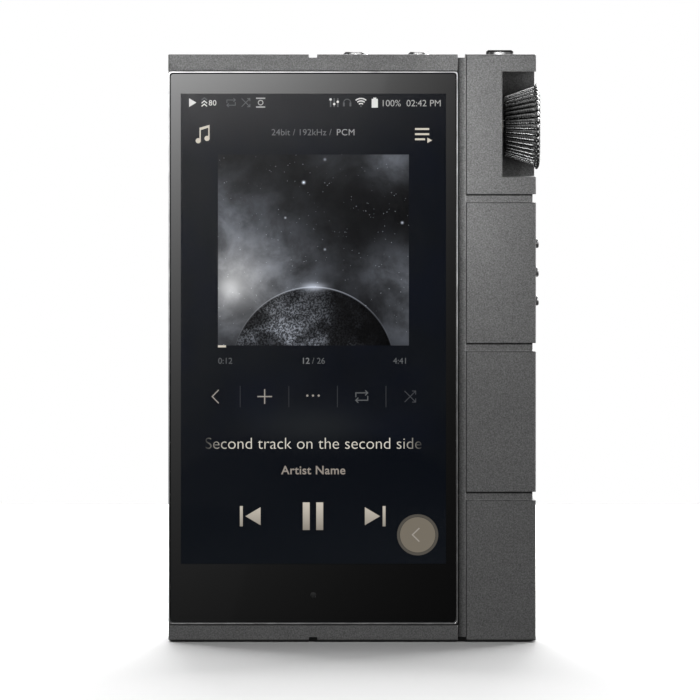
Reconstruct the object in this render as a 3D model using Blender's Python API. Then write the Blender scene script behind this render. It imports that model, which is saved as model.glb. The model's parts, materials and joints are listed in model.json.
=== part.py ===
"""Portable digital audio player: a milled case with a block grid, a touch screen and a volume wheel.

Frame: metres, +Z up. The origin is the centre of the bottom face. The screen faces -Y, and +X is the
side with the wheel and the three buttons. Millimetre values are multiplied by MM.
"""
from math import atan2, cos, hypot, pi, sin

import bmesh
import bpy
from mathutils import Matrix, Vector

MM = 0.001
X, Y, Z = 0, 1, 2

# Case
WIDTH = 87.75 * MM
HEIGHT = 140.0 * MM
DEPTH = 31.5 * MM
LEFT, RIGHT = -WIDTH / 2, WIDTH / 2
FRONT, BACK = -DEPTH / 2, DEPTH / 2
GAP = 0.3 * MM                      # between pieces that touch
WALL = 2.0 * MM
TOP_WALL = 2.5 * MM
COVER_THICKNESS = 2.6 * MM
EDGE_ROUND = 0.27 * MM
CASE_BACK = BACK - COVER_THICKNESS - GAP

# Block grid: square blocks with a groove between them, on every face but the screen
BLOCK = 33.5 * MM
GROOVE_WIDTH = 2.05 * MM
GROOVE_DEPTH = 0.8 * MM
GROOVE_FLOOR = 1.9 * MM
PITCH = BLOCK + GROOVE_WIDTH
COLUMNS = [LEFT + BLOCK + GROOVE_WIDTH / 2 + PITCH * i for i in range(2)]
ROWS = [BLOCK + GROOVE_WIDTH / 2 + PITCH * i for i in range(3)]
MIDDLE_BLOCK_X = (COLUMNS[0] + COLUMNS[1]) / 2
LEFT_BLOCK_X = COLUMNS[0] - PITCH / 2
BUTTON_BLOCK_Z = (ROWS[1] + ROWS[2]) / 2

# Screen
SCREEN_RIGHT = COLUMNS[1] - GROOVE_WIDTH / 2 + 0.1 * MM
SCREEN_LOW, SCREEN_HIGH = 3.85 * MM, 135.9 * MM
SEAM = 0.2 * MM                     # between frame and glass, and frame and case
RECESS_FLOOR = FRONT + 3.85 * MM
WEB_BACK = RECESS_FLOOR + 1.5 * MM
FRAME_WALL = 0.32 * MM
FRAME_BACK = RECESS_FLOOR - GAP
FOOT_THICKNESS = 0.5 * MM
FOOT_WIDTH = 1.2 * MM
GLASS_FRONT = FRONT + 0.1 * MM
GLASS_THICKNESS = 0.9 * MM
GLASS_CORNER = 0.7 * MM
PANEL_FRONT = GLASS_FRONT + GLASS_THICKNESS + GAP
PANEL_THICKNESS = 1.0 * MM
BACKLIGHT_THICKNESS = 0.9 * MM

# Wheel
POCKET_LEFT = RIGHT - 8.05 * MM
POCKET_LOW, POCKET_HIGH = 110.7 * MM, 135.87 * MM
POCKET_BACK = 11.75 * MM
POCKET_WALL = 1.5 * MM
WHEEL_Y, WHEEL_Z = -1.0 * MM, 122.7 * MM
WHEEL_BACK = POCKET_LEFT + 0.57 * MM
RIBS = 40
RIB_DEPTH = 0.45 * MM
SHAFT_RADIUS = 1.5 * MM
BUSH_RADIUS = 2.7 * MM
RING_INNER, RING_OUTER = 7.3 * MM, 8.7 * MM
RING_THICKNESS = 0.6 * MM

# Buttons
POWER_X = 35.4 * MM
POWER_RADIUS = 3.27 * MM
POWER_FLOOR = HEIGHT - 2.95 * MM
SIDE_PITCH = 6.9 * MM
SIDE_RADIUS = 1.2 * MM
SIDE_FLANGE_RADIUS = 1.9 * MM

# Sockets
JACK_PITCH = 15.0 * MM
JACK_LENGTH = 14.7 * MM
XLR_RADIUS = 5.6 * MM
XLR_LENGTH = 10.5 * MM
USB_WIDTH, USB_DEPTH = 9.0 * MM, 3.2 * MM
CARD_WIDTH, CARD_DEPTH = 12.2 * MM, 1.6 * MM

# Rear screws
BOSS = 7.0 * MM
SCREW_INSET = 4.3 * MM
SCREW_RADIUS = 0.8 * MM
HEAD_RADIUS = 1.5 * MM


# ---------------------------------------------------------------- helpers

def material(name, colour, roughness, metallic):
    made = bpy.data.materials.new(name)
    made.use_nodes = True
    shader = made.node_tree.nodes["Principled BSDF"]
    shader.inputs["Base Color"].default_value = (*colour, 1.0)
    shader.inputs["Roughness"].default_value = roughness
    shader.inputs["Metallic"].default_value = metallic
    return made


def finish(name, bm, look, location=(0, 0, 0), smooth=False):
    """Turns a bmesh into a named object with its faces pointing out."""
    bmesh.ops.recalc_face_normals(bm, faces=bm.faces)
    mesh = bpy.data.meshes.new(name)
    bm.to_mesh(mesh)
    bm.free()
    if smooth:
        mesh.shade_smooth()
        mesh.set_sharp_from_angle(angle=0.6)
    made = bpy.data.objects.new(name, mesh)
    made.location = location
    bpy.context.scene.collection.objects.link(made)
    if look is None:
        made.hide_render = True
        made.display_type = "WIRE"
    else:
        mesh.materials.append(look)
    return made


def box(name, low, high, look=None, rounding=0.0, square_side=None):
    """A box between two corners. square_side is the Y of a face whose edges stay square."""
    low, high = Vector(low), Vector(high)
    bm = bmesh.new()
    bmesh.ops.create_cube(bm, size=1.0)
    bmesh.ops.scale(bm, vec=high - low, verts=bm.verts)
    centre = (low + high) / 2
    if rounding:
        def kept(vert):
            return square_side is not None and abs(vert.co.y + centre.y - square_side) < GAP

        edges = [e for e in bm.edges if not all(kept(v) for v in e.verts)]
        bmesh.ops.bevel(bm, geom=edges, offset=rounding, segments=2, profile=0.5, affect="EDGES")
    return finish(name, bm, look, centre)


def prism(name, axis, outline, low, high, look=None):
    """An outline extruded along one axis. Its points are the two other coordinates, in X, Y, Z order."""
    across = [i for i in (X, Y, Z) if i != axis]
    bm = bmesh.new()
    corners = []
    for point in outline:
        place = Vector((0, 0, 0))
        place[across[0]], place[across[1]] = point
        place[axis] = low
        corners.append(bm.verts.new(place))
    face = bm.faces.new(corners)
    moved = bmesh.ops.extrude_face_region(bm, geom=[face])["geom"]
    shift = Vector((0, 0, 0))
    shift[axis] = high - low
    bmesh.ops.translate(bm, vec=shift, verts=[v for v in moved if isinstance(v, bmesh.types.BMVert)])
    return finish(name, bm, look)


def turned(name, axis, profile, segments, centre, look=None):
    """A profile of (along, radius) points spun round an axis through centre."""
    bm = bmesh.new()
    points = [bm.verts.new((radius, 0, along)) for along, radius in profile]
    pairs = list(zip(points, points[1:]))
    if profile[0][1] > 0:
        pairs.append((points[-1], points[0]))
    edges = [bm.edges.new(pair) for pair in pairs]
    bmesh.ops.spin(bm, geom=points + edges, cent=(0, 0, 0), axis=(0, 0, 1), angle=2 * pi,
                   steps=segments, use_merge=True)
    bmesh.ops.remove_doubles(bm, verts=bm.verts, dist=0.001 * MM)
    turn = {X: Matrix.Rotation(pi / 2, 3, "Y"), Y: Matrix.Rotation(-pi / 2, 3, "X"), Z: Matrix.Identity(3)}
    bmesh.ops.rotate(bm, cent=(0, 0, 0), matrix=turn[axis], verts=bm.verts)
    return finish(name, bm, look, centre, smooth=True)


def rod(name, axis, radius, low, high, centre, segments=24, look=None):
    return turned(name, axis, [(low, 0), (low, radius), (high, radius), (high, 0)], segments, centre, look)


def rounded(x0, z0, x1, z1, radius, steps=3):
    """The outline of a rectangle with round corners."""
    points = []
    corners = [(x1 - radius, z1 - radius), (x0 + radius, z1 - radius), (x0 + radius, z0 + radius),
               (x1 - radius, z0 + radius)]
    for quarter, (cx, cz) in enumerate(corners):
        for step in range(steps + 1):
            angle = (quarter + step / steps) * pi / 2
            points.append((cx + radius * cos(angle), cz + radius * sin(angle)))
    return points


def cut(target, *cutters):
    for cutter in cutters:
        boolean = target.modifiers.new(cutter.name, "BOOLEAN")
        boolean.operation = "DIFFERENCE"
        boolean.solver = "EXACT"
        boolean.object = cutter


def groove(name, run, across, centre, face, low, high):
    """A cutter for one groove: it runs along one axis, at centre across it, in the face at face."""
    outward = 1 if face > GROOVE_DEPTH else -1
    past = 1 * MM
    lean = (GROOVE_WIDTH - GROOVE_FLOOR) / 2 / GROOVE_DEPTH
    half = [(GROOVE_WIDTH / 2 + lean * past, past), (GROOVE_FLOOR / 2, -GROOVE_DEPTH)]
    sides = half + [(-side, height) for side, height in reversed(half)]
    points = [(centre + side, face + outward * height) for side, height in sides]
    if across > 3 - run - across:
        points = [(height, side) for side, height in points]
    return prism(name, run, points, low, high)


# ---------------------------------------------------------------- case

def grooves():
    """Cutters for the block grid, in three sets: both shells, the case alone and the cover alone."""
    past = 1 * MM
    shared, front, rear = [], [], []
    for i, x in enumerate(COLUMNS):
        for side, z in (("top", HEIGHT), ("bottom", 0)):
            shared.append(groove(f"cut_{side}_groove_{i + 1}", Y, X, x, z, FRONT - past, BACK + past))
        rear.append(groove(f"cut_rear_column_{i + 1}", Z, X, x, BACK, -past, HEIGHT + past))
    for i, z in enumerate(ROWS):
        for side, x in (("left", LEFT), ("right", RIGHT)):
            shared.append(groove(f"cut_{side}_groove_{i + 1}", Y, Z, z, x, FRONT - past, BACK + past))
        front.append(groove(f"cut_front_row_{i + 1}", X, Z, z, FRONT, COLUMNS[1], RIGHT + past))
        rear.append(groove(f"cut_rear_row_{i + 1}", X, Z, z, BACK, LEFT - past, RIGHT + past))
    front.append(groove("cut_front_column", Z, X, COLUMNS[1], FRONT, -past, HEIGHT + past))
    return shared, front, rear


def screw_places():
    """The four rear screws. The top right one stands beside the wheel pocket."""
    low, high = SCREW_INSET, HEIGHT - SCREW_INSET
    side = RIGHT - SCREW_INSET
    beside_pocket = POCKET_LEFT - POCKET_WALL - BOSS / 2
    return [(-side, low), (side, low), (-side, high), (beside_pocket, high)]


def cavity_outline():
    """The inside of the case seen from the front, with a block left at each screw."""
    left, right = LEFT + WALL, RIGHT - WALL
    low, high = 2.2 * MM, HEIGHT - TOP_WALL
    step_x, step_z = POCKET_LEFT - POCKET_WALL, POCKET_LOW - POCKET_WALL
    boss_z = high - BOSS + WALL
    return [(left + BOSS - WALL, low), (right - BOSS + WALL, low), (right - BOSS + WALL, BOSS),
            (right, BOSS), (right, step_z), (step_x, step_z), (step_x, boss_z), (step_x - BOSS, boss_z),
            (step_x - BOSS, high), (left + BOSS - WALL, high), (left + BOSS - WALL, boss_z),
            (left, boss_z), (left, BOSS), (left + BOSS - WALL, BOSS)]


def make_case(look, shared, front):
    case = box("main_housing", (LEFT, FRONT, 0), (RIGHT, CASE_BACK, HEIGHT), look, EDGE_ROUND, CASE_BACK)
    past = 1 * MM
    cut(case, prism("cut_cavity", Y, cavity_outline(), WEB_BACK, CASE_BACK + past))
    cut(case, box("cut_screen_recess", (LEFT - past, FRONT - past, SCREEN_LOW - SEAM),
                  (SCREEN_RIGHT + SEAM, RECESS_FLOOR, SCREEN_HIGH + SEAM)))
    cut(case, box("cut_screen_window", (LEFT + 6 * MM, RECESS_FLOOR - past, 20 * MM),
                  (SCREEN_RIGHT - 5 * MM, WEB_BACK + past, 128 * MM)))
    cut(case, *shared, *front)
    cut(case, box("cut_wheel_pocket", (POCKET_LEFT, FRONT - past, POCKET_LOW),
                  (RIGHT + past, POCKET_BACK, POCKET_HIGH)))
    centre = (POCKET_LEFT, WHEEL_Y, WHEEL_Z)
    cut(case, rod("cut_bush_hole", X, BUSH_RADIUS + GAP, -3 * MM, past, centre))
    ring_hole = [(-RING_THICKNESS - GAP, RING_INNER - GAP), (-RING_THICKNESS - GAP, RING_OUTER + GAP),
                 (past, RING_OUTER + GAP), (past, RING_INNER - GAP)]
    cut(case, turned("cut_ring_groove", X, ring_hole, 32, centre))

    top = HEIGHT + past
    cut(case, rod("cut_power_bore", Z, POWER_RADIUS + GAP, POWER_FLOOR, top, (POWER_X, 0, 0), 32))
    cut(case, box("cut_power_channel", (POCKET_LEFT - POCKET_WALL - BOSS - past, -1.5 * MM, POWER_FLOOR),
                  (POWER_X - 2 * MM, 1.5 * MM, POWER_FLOOR + 0.8 * MM)))
    for i, z in enumerate(side_button_heights()):
        cut(case, rod(f"cut_side_hole_{i + 1}", X, SIDE_RADIUS + GAP, -3 * MM, past, (RIGHT, 0, z)))
    for name, x, radius in top_holes():
        cut(case, rod(f"cut_{name}_hole", Z, radius + GAP, HEIGHT - 4 * MM, top, (x, 0, 0), 32))
    usb = rounded(MIDDLE_BLOCK_X - USB_WIDTH / 2 - GAP, -USB_DEPTH / 2 - GAP,
                  MIDDLE_BLOCK_X + USB_WIDTH / 2 + GAP, USB_DEPTH / 2 + GAP, USB_DEPTH / 2, 4)
    cut(case, prism("cut_usb_hole", Z, usb, -past, 3 * MM))
    cut(case, box("cut_card_hole", (LEFT_BLOCK_X - CARD_WIDTH / 2, -CARD_DEPTH / 2, -past),
                  (LEFT_BLOCK_X + CARD_WIDTH / 2, CARD_DEPTH / 2, 3 * MM)))
    for i, (x, z) in enumerate(screw_places()):
        cut(case, rod(f"cut_screw_hole_{i + 1}", Y, SCREW_RADIUS + GAP, BACK - 10 * MM, BACK,
                      (x, 0, z), 16))
    return case


def make_cover(look, shared, rear):
    front = BACK - COVER_THICKNESS
    cover = box("rear_cover", (LEFT, front, 0), (RIGHT, BACK, HEIGHT), look, EDGE_ROUND, front)
    cut(cover, *shared, *rear)
    for i, (x, z) in enumerate(screw_places()):
        wide, narrow = HEAD_RADIUS + GAP, SCREW_RADIUS + GAP
        seat = BACK - 0.9 * MM
        profile = [(front - 1 * MM, 0), (front - 1 * MM, narrow), (seat - wide + narrow, narrow),
                   (seat, wide), (BACK + 1 * MM, wide), (BACK + 1 * MM, 0)]
        cut(cover, turned(f"cut_screw_seat_{i + 1}", Y, profile, 20, (x, 0, z)))


def make_screws(look):
    head_top, head_low = BACK - 0.2 * MM, BACK - 0.9 * MM
    profile = [(BACK - 9 * MM, 0), (BACK - 9 * MM, SCREW_RADIUS),
               (head_low - HEAD_RADIUS + SCREW_RADIUS, SCREW_RADIUS), (head_low, HEAD_RADIUS),
               (head_top, HEAD_RADIUS), (head_top, 0)]
    socket = [(0.8 * MM * cos(pi * i / 3), 0.8 * MM * sin(pi * i / 3)) for i in range(6)]
    for i, (x, z) in enumerate(screw_places()):
        screw = turned(f"rear_screw_{i + 1}", Y, profile, 16, (x, 0, z), look)
        recess = prism(f"cut_screw_socket_{i + 1}", Y, [(x + a, z + b) for a, b in socket],
                       head_low, BACK + 1 * MM)
        cut(screw, recess)


# ---------------------------------------------------------------- screen

def make_screen(frame_look, glass_look, panel_look, light_look):
    outer = rounded(LEFT, SCREEN_LOW, SCREEN_RIGHT, SCREEN_HIGH, GLASS_CORNER)
    frame = prism("display_frame", Y, outer, FRONT, FRAME_BACK, frame_look)
    x0, x1 = LEFT + FRAME_WALL, SCREEN_RIGHT - FRAME_WALL
    z0, z1 = SCREEN_LOW + FRAME_WALL, SCREEN_HIGH - FRAME_WALL
    cut(frame, prism("cut_frame_inside", Y, rounded(x0, z0, x1, z1, GLASS_CORNER),
                     FRONT - 1 * MM, FRAME_BACK - FOOT_THICKNESS))
    cut(frame, box("cut_frame_window", (LEFT + FOOT_WIDTH, FRONT, SCREEN_LOW + FOOT_WIDTH),
                   (SCREEN_RIGHT - FOOT_WIDTH, FRAME_BACK + 1 * MM, SCREEN_HIGH - FOOT_WIDTH)))

    glass = rounded(x0 + SEAM, z0 + SEAM, x1 - SEAM, z1 - SEAM, GLASS_CORNER)
    prism("cover_glass", Y, glass, GLASS_FRONT, GLASS_FRONT + GLASS_THICKNESS, glass_look)
    inset = FOOT_WIDTH + GAP
    box("display_panel", (LEFT + inset, PANEL_FRONT, 11.5 * MM),
        (SCREEN_RIGHT - inset, PANEL_FRONT + PANEL_THICKNESS, 132.5 * MM), panel_look)
    light_front = PANEL_FRONT + PANEL_THICKNESS + GAP
    box("backlight", (LEFT + inset, light_front, 14 * MM),
        (SCREEN_RIGHT - inset, light_front + BACKLIGHT_THICKNESS, 132.5 * MM), light_look)


# ---------------------------------------------------------------- wheel

def make_wheel(wheel_look, steel, brass, ring_look, plastic, board_look):
    centre = (POCKET_LEFT, WHEEL_Y, WHEEL_Z)
    back = WHEEL_BACK - POCKET_LEFT
    lip = RIGHT - POCKET_LEFT
    profile = [(back, 0), (back, 7.0 * MM), (back + 0.4 * MM, 7.4 * MM), (lip - 0.3 * MM, 9.95 * MM),
               (lip + 0.1 * MM, 10.3 * MM), (lip + 0.5 * MM, 10.25 * MM),
               (lip + 0.95 * MM, 9.6 * MM), (lip + 1.3 * MM, 7.8 * MM), (lip + 1.6 * MM, 4.8 * MM),
               (lip + 1.82 * MM, 1.6 * MM), (lip + 1.85 * MM, 0)]
    wheel = turned("volume_wheel", X, profile, 2 * RIBS, centre, wheel_look)
    for vert in wheel.data.vertices:
        radius = hypot(vert.co.y, vert.co.z)
        step = round(atan2(vert.co.z, vert.co.y) * RIBS / pi)
        if step % 2 and radius > 6 * MM:
            keep = 1 - RIB_DEPTH / radius
            vert.co.y *= keep
            vert.co.z *= keep
    cut(wheel, rod("cut_wheel_bore", X, SHAFT_RADIUS + GAP, 0, 6.2 * MM, centre))
    rod("wheel_shaft", X, SHAFT_RADIUS, -6.8 * MM, 5.9 * MM, centre, 24, steel)

    bore = SHAFT_RADIUS + GAP
    wall = -POCKET_WALL
    bush = [(wall - 0.6 * MM, bore), (wall - 0.6 * MM, 3.8 * MM), (wall - GAP, 3.8 * MM),
            (wall - GAP, BUSH_RADIUS), (0.2 * MM, BUSH_RADIUS), (0.2 * MM, bore)]
    turned("wheel_bush", X, bush, 24, centre, brass)
    ring = [(-RING_THICKNESS, RING_INNER), (-RING_THICKNESS, RING_OUTER), (0, RING_OUTER), (0, RING_INNER)]
    turned("wheel_light_ring", X, ring, 32, centre, ring_look)

    encoder_right = POCKET_LEFT + wall - 0.9 * MM
    encoder_left = encoder_right - 5.1 * MM
    half = 6 * MM
    encoder = box("rotary_encoder", (encoder_left, WHEEL_Y - half, WHEEL_Z - half),
                  (encoder_right, WHEEL_Y + half, WHEEL_Z + half), plastic)
    cut(encoder, rod("cut_encoder_bore", X, SHAFT_RADIUS + GAP, -10 * MM, 0, centre))
    half = 7 * MM
    box("encoder_board", (encoder_left - GAP - 1 * MM, WHEEL_Y - half, WHEEL_Z - half),
        (encoder_left - GAP, WHEEL_Y + half, WHEEL_Z + half), board_look)


# ---------------------------------------------------------------- buttons

def side_button_heights():
    return [BUTTON_BLOCK_Z + SIDE_PITCH * (1 - i) for i in range(3)]


def make_power_button(look, plastic):
    profile = [(-1.5 * MM, 0), (-1.5 * MM, POWER_RADIUS), (0.4 * MM, POWER_RADIUS), (0.85 * MM, 3.13 * MM),
               (1.0 * MM, 2.95 * MM), (1.0 * MM, 2.6 * MM), (0.8 * MM, 1.9 * MM), (0.7 * MM, 0)]
    turned("power_button", Z, profile, 32, (POWER_X, 0, HEIGHT), look)
    body, nub = 2.2 * MM, 0.9 * MM
    switch = [(GAP, 0), (GAP, body), (0.7 * MM, body), (0.7 * MM, nub), (0.9 * MM, nub), (0.9 * MM, 0)]
    turned("power_switch", Z, switch, 16, (POWER_X, 0, POWER_FLOOR), plastic)


def make_side_buttons(look, plastic, board_look):
    flange = -WALL - 0.35 * MM
    base = flange - 0.7 * MM
    profile = [(base, 0), (base, SIDE_FLANGE_RADIUS), (flange, SIDE_FLANGE_RADIUS), (flange, SIDE_RADIUS),
               (0.4 * MM, SIDE_RADIUS), (0.75 * MM, 1.08 * MM), (0.9 * MM, 0.8 * MM), (0.9 * MM, 0)]
    board_right = RIGHT + base - 2.1 * MM
    for i, z in enumerate(side_button_heights()):
        name = ("next", "play", "previous")[i]
        turned(f"{name}_button", X, profile, 20, (RIGHT, 0, z), look)
        body, nub = 1.6 * MM, 0.7 * MM
        switch = [(GAP, 0), (GAP, body), (1.2 * MM, body), (1.2 * MM, nub), (1.5 * MM, nub), (1.5 * MM, 0)]
        turned(f"{name}_switch", X, switch, 12, (board_right, 0, z), plastic)
    half = SIDE_PITCH + 5 * MM
    box("side_switch_board", (board_right - 0.9 * MM, -4 * MM, BUTTON_BLOCK_Z - half),
        (board_right, 4 * MM, BUTTON_BLOCK_Z + half), board_look)


# ---------------------------------------------------------------- sockets

def jacks():
    """Name, X, collar radius and bore radius of the two round jacks."""
    half = JACK_PITCH / 2
    return [("headphone", MIDDLE_BLOCK_X - half, 3.0 * MM, 1.8 * MM),
            ("balanced", MIDDLE_BLOCK_X + half, 2.5 * MM, 1.3 * MM)]


def top_holes():
    return [(name, x, radius) for name, x, radius, bore in jacks()] + [("xlr", LEFT_BLOCK_X, XLR_RADIUS)]


def make_jacks(collar_look, plastic):
    for name, x, radius, bore in jacks():
        low = -TOP_WALL + 0.2 * MM
        collar = [(low, bore), (low, radius), (0.1 * MM, radius), (0.55 * MM, radius - 0.7 * MM),
                  (0.5 * MM, bore + 0.2 * MM), (0.25 * MM, bore)]
        turned(f"{name}_collar", Z, collar, 24, (x, 0, HEIGHT), collar_look)
        top = HEIGHT - TOP_WALL - GAP
        half = radius + 0.1 * MM
        body = box(f"{name}_jack", (x - half, -half, top - JACK_LENGTH), (x + half, 3.7 * MM, top),
                   plastic)
        cut(body, rod(f"cut_{name}_bore", Z, bore, top - 13 * MM, top + 1 * MM, (x, 0, 0)))


def make_xlr(metal, plastic):
    wall = 1.2 * MM
    top = -0.05 * MM
    inside = XLR_RADIUS - wall
    shell = [(-XLR_LENGTH, 0), (-XLR_LENGTH, XLR_RADIUS), (top, XLR_RADIUS), (top, inside + 0.25 * MM),
             (top - 0.25 * MM, inside), (wall - XLR_LENGTH, inside), (wall - XLR_LENGTH, 0)]
    turned("xlr_shell", Z, shell, 32, (LEFT_BLOCK_X, 0, HEIGHT), metal)
    low = HEIGHT - XLR_LENGTH + wall + GAP
    insert = rod("xlr_insert", Z, 3.4 * MM, low, HEIGHT - 0.8 * MM, (LEFT_BLOCK_X, 0, 0), 24, plastic)
    for i in range(5):
        angle = pi / 2 + 2 * pi * (i + 0.5) / 5
        place = (LEFT_BLOCK_X + 2.0 * MM * cos(angle), 2.0 * MM * sin(angle), HEIGHT)
        cut(insert, rod(f"cut_xlr_contact_{i + 1}", Z, 0.5 * MM, -5 * MM, 1 * MM, place, 10))


def make_ports(metal, plastic, board_look):
    x, half_w, half_d = MIDDLE_BLOCK_X, USB_WIDTH / 2, USB_DEPTH / 2
    low, high, wall = 0.15 * MM, 8.0 * MM, 0.3 * MM
    corner = half_d * 0.95
    outside = rounded(x - half_w, -half_d, x + half_w, half_d, corner, 4)
    half_w, half_d, corner = half_w - wall, half_d - wall, corner - wall
    inside = rounded(x - half_w, -half_d, x + half_w, half_d, corner, 4)
    shell = prism("usb_c_shell", Z, outside, low, high, metal)
    cut(shell, prism("cut_usb_inside", Z, inside, low - 1 * MM, high + 1 * MM))
    box("usb_c_tongue", (x - 3.3 * MM, -0.35 * MM, 1.2 * MM), (x + 3.3 * MM, 0.35 * MM, 7.5 * MM), plastic)

    x, half = LEFT_BLOCK_X, 7.2 * MM
    slot = box("card_slot", (x - half, -1.1 * MM, 2.5 * MM), (x + half, 1.1 * MM, 18.5 * MM), metal)
    cut(slot, box("cut_card_inside", (x - 5.8 * MM, -0.6 * MM, 0), (x + 5.8 * MM, 0.6 * MM, 17 * MM)))
    box("port_board", (x - 9 * MM, USB_DEPTH / 2 + 0.4 * MM, 2.9 * MM),
        (MIDDLE_BLOCK_X + 10 * MM, USB_DEPTH / 2 + 1.2 * MM, 20 * MM), board_look)


# ---------------------------------------------------------------- inside

def make_display_flex(look):
    """The ribbon from the screen, under the battery, to the front of the main board."""
    route = [(-11.5, 28), (-11.5, 24), (-9.5, 22), (1.5, 22), (3.4, 24), (3.4, 30)]
    bm = bmesh.new()
    rows = [[bm.verts.new((x * MM, y * MM, z * MM)) for x in (-15, -3)] for y, z in route]
    for (a, b), (c, d) in zip(rows, rows[1:]):
        bm.faces.new((a, b, d, c))
    flex = finish("display_flex", bm, look)
    thick = flex.modifiers.new("thickness", "SOLIDIFY")
    thick.thickness = 0.2 * MM
    thick.offset = 0


def make_inside(steel, plastic, board_look, battery_look, pad_look):
    plate_back = WEB_BACK + GAP + 0.6 * MM
    box("mid_plate", (-40.5 * MM, WEB_BACK + GAP, 26 * MM), (25 * MM, plate_back, 120 * MM), steel)
    pad_back = plate_back + GAP + 0.4 * MM
    box("battery_pad", (-35 * MM, plate_back + GAP, 30 * MM), (19 * MM, pad_back, 108 * MM), pad_look)
    box("battery_pack", (-38 * MM, pad_back + GAP, 24 * MM), (22 * MM, pad_back + GAP + 9.4 * MM, 112 * MM),
        battery_look, 0.8 * MM)
    antenna_front = WEB_BACK + GAP
    box("wifi_antenna", (-30 * MM, antenna_front, 130 * MM), (-8 * MM, antenna_front + GAP, 135 * MM),
        board_look)

    board = 4.0 * MM
    box("main_board", (-36 * MM, board, 22 * MM), (25 * MM, board + 1 * MM, 127 * MM), board_look)
    parts = board + 1 * MM + GAP
    box("processor_shield", (-30 * MM, parts, 75 * MM), (0, parts + 2 * MM, 115 * MM), steel)
    box("board_connector", (-10 * MM, parts, 60 * MM), (10 * MM, parts + 3 * MM, 66 * MM), plastic)
    upper = parts + 3 * MM + GAP
    box("amplifier_board", (-36 * MM, upper, 30 * MM), (25 * MM, upper + 0.8 * MM, 110 * MM), board_look)
    shield = upper + 0.8 * MM + GAP
    box("amplifier_shield", (-32 * MM, shield, 34 * MM), (21 * MM, shield + 2.4 * MM, 106 * MM), steel)


# ---------------------------------------------------------------- whole player

def main():
    for old in list(bpy.data.objects):
        bpy.data.objects.remove(old)

    blasted = material("blasted_metal", (0.17, 0.17, 0.17), 0.5, 1.0)
    bright = material("bright_metal", (0.75, 0.75, 0.75), 0.18, 1.0)
    dark_metal = material("wheel_metal", (0.12, 0.12, 0.12), 0.3, 1.0)
    glass = material("black_glass", (0.02, 0.02, 0.022), 0.05, 0.0)
    panel = material("screen", (0.01, 0.013, 0.02), 0.3, 0.0)
    diffuser = material("diffuser", (0.85, 0.85, 0.85), 0.6, 0.0)
    steel = material("steel", (0.55, 0.55, 0.55), 0.35, 1.0)
    brass = material("brass", (0.7, 0.5, 0.2), 0.3, 1.0)
    plastic = material("black_plastic", (0.02, 0.02, 0.02), 0.5, 0.0)
    board = material("circuit_board", (0.01, 0.05, 0.03), 0.5, 0.0)
    battery = material("battery_wrap", (0.05, 0.05, 0.06), 0.4, 0.0)
    foam = material("foam", (0.08, 0.08, 0.08), 0.9, 0.0)

    shared, front, rear = grooves()
    make_case(blasted, shared, front)
    make_cover(blasted, shared, rear)
    make_screws(steel)
    make_screen(bright, glass, panel, diffuser)
    make_wheel(dark_metal, steel, brass, diffuser, plastic, board)
    make_power_button(bright, plastic)
    make_side_buttons(bright, plastic, board)
    make_jacks(bright, plastic)
    make_xlr(steel, plastic)
    make_ports(steel, plastic, board)
    make_display_flex(brass)
    make_inside(steel, plastic, board, battery, foam)


main()
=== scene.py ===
"""Looks of the digital audio player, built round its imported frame. Metres, +Z up, screen towards -Y."""

import json
from math import cos, pi, radians, sin

import bmesh
import bpy
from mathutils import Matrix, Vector


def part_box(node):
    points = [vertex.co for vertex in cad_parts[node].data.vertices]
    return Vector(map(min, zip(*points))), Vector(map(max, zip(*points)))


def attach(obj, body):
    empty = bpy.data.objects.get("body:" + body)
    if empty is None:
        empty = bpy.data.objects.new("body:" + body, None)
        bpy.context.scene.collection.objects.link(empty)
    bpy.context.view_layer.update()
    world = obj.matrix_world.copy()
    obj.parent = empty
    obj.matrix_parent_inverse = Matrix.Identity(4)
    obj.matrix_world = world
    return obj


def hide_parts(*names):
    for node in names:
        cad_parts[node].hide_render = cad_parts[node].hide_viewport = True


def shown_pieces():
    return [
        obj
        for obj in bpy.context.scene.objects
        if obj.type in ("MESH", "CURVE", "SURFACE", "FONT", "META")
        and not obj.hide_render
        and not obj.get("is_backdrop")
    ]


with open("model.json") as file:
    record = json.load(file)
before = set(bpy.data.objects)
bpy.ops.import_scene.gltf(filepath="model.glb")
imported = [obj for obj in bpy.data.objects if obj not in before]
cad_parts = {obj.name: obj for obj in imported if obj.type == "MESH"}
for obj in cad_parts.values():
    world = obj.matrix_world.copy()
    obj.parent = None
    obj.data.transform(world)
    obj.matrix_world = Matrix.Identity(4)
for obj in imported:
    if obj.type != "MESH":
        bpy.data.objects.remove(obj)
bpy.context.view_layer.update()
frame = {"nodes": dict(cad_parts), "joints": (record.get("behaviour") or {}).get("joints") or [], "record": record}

MM = 0.001
X, Y, Z = 0, 1, 2
UPRIGHT = (pi / 2, 0, 0)
RIBS = 40


# ---------------- places, read from the frame

def corners(node):
    low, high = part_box(node)
    return Vector(low), Vector(high)


CASE_LOW, CASE_HIGH = corners("main_housing")
GLASS_LOW, GLASS_HIGH = corners("cover_glass")
FRONT = CASE_LOW.y
GROOVE_WIDTH = 2.05 * MM
COLUMN_GROOVE = 26.2 * MM
ROW_GROOVES = [34.525 * MM, 70.075 * MM, 105.625 * MM]
POCKET_BACK = 11.75 * MM
WHEEL_AXIS = next(Vector(j["pos_m"]) for j in frame["joints"] if j["name"] == "wheel_turn")

# The top left corner of the screen's picture, and the plane that it lies in
SCREEN_LEFT = CASE_LOW.x + 2.98 * MM
SCREEN_TOP = CASE_HIGH.z - 9.38 * MM
PICTURE_Y = corners("display_panel")[0].y - 0.03 * MM

# Sizes on the picture, in millimetres
SCREEN_WIDTH, SCREEN_HEIGHT = 63.3, 112.3
ALBUM_TOP, ALBUM_SIDE = 14.55, 45.6


# ---------------- node helpers

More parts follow.
